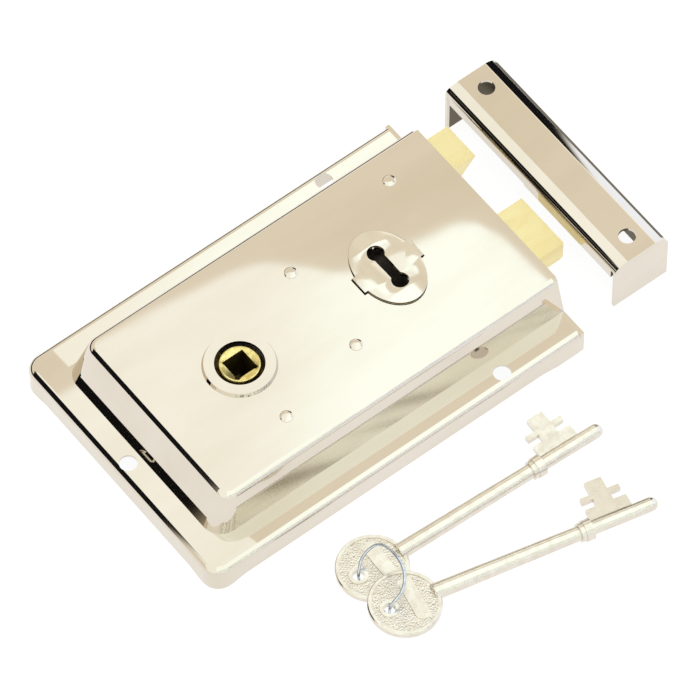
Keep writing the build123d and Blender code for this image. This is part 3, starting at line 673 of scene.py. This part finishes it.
def makeTent():
    mesh = bpy.data.meshes.new("tent")
    shell = bmesh.new()
    bmesh.ops.create_uvsphere(shell, u_segments=96, v_segments=64, radius=studio["tentRadius"])
    bmesh.ops.delete(shell, geom=[v for v in shell.verts if v.co.z < studio["tentFoot"]], context="VERTS")
    shell.to_mesh(mesh)
    shell.free()
    tent = bpy.data.objects.new("tent", mesh)
    bpy.context.scene.collection.objects.link(tent)
    material, tree = newMaterial("tentLining")
    place = addNode(tree, "ShaderNodeTexCoord")
    unit = addNode(tree, "ShaderNodeVectorMath", {"operation": "NORMALIZE"},
                   links={"Vector": (place, "Object")})
    axes = addNode(tree, "ShaderNodeSeparateXYZ", links={"Vector": (unit, "Vector")})
    lifted = addNode(tree, "ShaderNodeMath", {"operation": "MAXIMUM"}, {1: studio["leastHeight"]},
                     {0: (axes, "Z")})
    overX = addNode(tree, "ShaderNodeMath", {"operation": "DIVIDE"},
                    links={0: (axes, "X"), 1: (lifted, "Value")})
    overY = addNode(tree, "ShaderNodeMath", {"operation": "DIVIDE"},
                    links={0: (axes, "Y"), 1: (lifted, "Value")})
    edge = addNode(tree, "ShaderNodeFloatCurve", links={"Value": (overX, "Value")})
    curve = edge.mapping.curves[0]
    curve.points[0].location = studio["lampEdge"][0]
    curve.points[1].location = studio["lampEdge"][-1]
    for point in studio["lampEdge"][1:-1]:
        curve.points.new(*point)
    edge.mapping.update()
    past = addNode(tree, "ShaderNodeMath", {"operation": "SUBTRACT"},
                   links={0: (overY, "Value"), 1: (edge, "Value")})
    beyondLamp = compare(tree, past, "Value", 0.0, studio["lampSoft"])
    nearness = addNode(tree, "ShaderNodeMath", {"operation": "SUBTRACT"},
                       links={0: (overX, "Value"), 1: (overY, "Value")})
    brighter = addNode(tree, "ShaderNodeMapRange", {"interpolation_type": "SMOOTHSTEP"},
                       {"From Min": studio["lampRange"][0], "From Max": studio["lampRange"][1]},
                       {"Value": (nearness, "Value")})
    lampTone = mixColour(tree, brighter, studio["lampColour"], studio["lampBright"])
    mainTone = mixColour(tree, beyondLamp, lampTone, studio["wallColour"])
    # a brighter strip of wall, then the dark of the room, towards +X
    strip = compare(tree, overX, "Value", studio["strip"], studio["stripSoft"])
    withStrip = mixColour(tree, strip, mainTone, studio["creamColour"])
    darkRight = compare(tree, overX, "Value", studio["darkRight"], studio["darkRightSoft"])
    lampLeft = addNode(tree, "ShaderNodeMapRange", {"interpolation_type": "SMOOTHSTEP"},
                       {"From Min": studio["lampLeft"] - studio["lampLeftSoft"],
                        "From Max": studio["lampLeft"],
                        "To Min": 1.0, "To Max": 0.0},
                       {"Value": (overX, "Value")})
    lowSky = addNode(tree, "ShaderNodeMapRange", {"interpolation_type": "SMOOTHSTEP"},
                     {"From Min": studio["lowSky"] - studio["lowSkySoft"],
                      "From Max": studio["lowSky"] + studio["lowSkySoft"], "To Min": 1.0, "To Max": 0.0},
                     {"Value": (axes, "Z")})
    anyDark = addNode(tree, "ShaderNodeMath", {"operation": "MAXIMUM"},
                      links={0: (darkRight, "Result"), 1: (lampLeft, "Result")})
    # those two are tall and narrow, and the dark low down runs all round the far side
    narrow = addNode(tree, "ShaderNodeMapRange", {"interpolation_type": "SMOOTHSTEP"},
                     {"From Min": studio["darkSideEnd"],
                      "From Max": studio["darkSideEnd"] + studio["darkEndSoft"], "To Min": 1.0,
                      "To Max": 0.0}, {"Value": (axes, "Y")})
    anyDark = addNode(tree, "ShaderNodeMath", {"operation": "MULTIPLY"},
                      links={0: (anyDark, "Value"), 1: (narrow, "Result")})
    anyDark = addNode(tree, "ShaderNodeMath", {"operation": "MAXIMUM"},
                      links={0: (anyDark, "Value"), 1: (lowSky, "Result")})
    farSide = compare(tree, axes, "Y", studio["darkSide"], studio["darkSideSoft"])
    dark = addNode(tree, "ShaderNodeMath", {"operation": "MULTIPLY"},
                   links={0: (anyDark, "Value"), 1: (farSide, "Result")})
    nearSide = addNode(tree, "ShaderNodeMath", {"operation": "SUBTRACT"}, {0: 1.0}, {1: (farSide, "Result")})
    pale = addNode(tree, "ShaderNodeMath", {"operation": "MULTIPLY"},
                   links={0: (darkRight, "Result"), 1: (nearSide, "Value")})
    withPale = mixColour(tree, pale, withStrip, studio["coolColour"])
    withDark = mixColour(tree, dark, withPale, studio["darkColour"])
    # streaks low on the near side, where a real studio's stands and stool would be
    bars = addNode(tree, "ShaderNodeMapping", links={"Vector": (unit, "Vector")})
    bars.inputs["Scale"].default_value = studio["streakScale"]
    clutter = addNode(tree, "ShaderNodeTexNoise", inputs={"Scale": 1.0, "Detail": 3.0},
                      links={"Vector": (bars, "Vector")})
    streak = compare(tree, clutter, "Fac", studio["streakEdge"], studio["streakSoft"])
    nearLow = addNode(tree, "ShaderNodeMapRange", {"interpolation_type": "SMOOTHSTEP"},
                      {"From Min": studio["streakSide"][0], "From Max": studio["streakSide"][1]},
                      {"Value": (axes, "Y")})
    streakMask = addNode(tree, "ShaderNodeMath", {"operation": "MULTIPLY"},
                         links={0: (streak, "Result"), 1: (nearLow, "Result")})
    allTone = mixColour(tree, streakMask, withDark, studio["brownColour"])
    glow = addNode(tree, "ShaderNodeEmission", inputs={"Strength": 1.0})
    tree.links.new(allTone.outputs[2], glow.inputs["Color"])
    addNode(tree, "ShaderNodeOutputMaterial", links={"Surface": (glow, "Emission")})
    mesh.materials.append(material)
    tent.visible_camera = False
    tent.visible_diffuse = False
    tent.visible_shadow = False
    tent.visible_transmission = False
    return tent


makeTable()
makeTent()

world = bpy.data.worlds.new("softSky")
world.use_nodes = True
background = world.node_tree.nodes["Background"]
background.inputs["Color"].default_value = (1.0, 1.0, 1.0, 1.0)
background.inputs["Strength"].default_value = studio["skyStrength"]
bpy.context.scene.world = world

# camera: a long lens well above the lock, looking down on its near side
cameraPlace = {"azimuth": -38.0735, "elevation": 57.8964, "roll": 0.1586, "lensMm": 438.1884,
               "location": (-0.8607, -1.15574, 2.3303)}
azimuth = math.radians(cameraPlace["azimuth"])
elevation = math.radians(cameraPlace["elevation"])
roll = math.radians(cameraPlace["roll"])
back = Vector((math.sin(azimuth) * math.cos(elevation), -math.cos(azimuth) * math.cos(elevation),
               math.sin(elevation)))
flatRight = Vector((math.cos(azimuth), math.sin(azimuth), 0))
flatUp = back.cross(flatRight)
right = flatRight * math.cos(roll) + flatUp * math.sin(roll)
up = flatUp * math.cos(roll) - flatRight * math.sin(roll)
cameraData = bpy.data.cameras.new("productCamera")
cameraData.lens = cameraPlace["lensMm"]
cameraData.sensor_width = 36
cameraData.clip_end = 30
camera = bpy.data.objects.new("productCamera", cameraData)
turn = Matrix((right, up, back)).transposed().to_4x4()
camera.matrix_world = Matrix.Translation(Vector(cameraPlace["location"])) @ turn
bpy.context.scene.collection.objects.link(camera)
bpy.context.scene.camera = camera
bpy.context.scene.view_settings.view_transform = "Standard"
print("studio and camera placed")
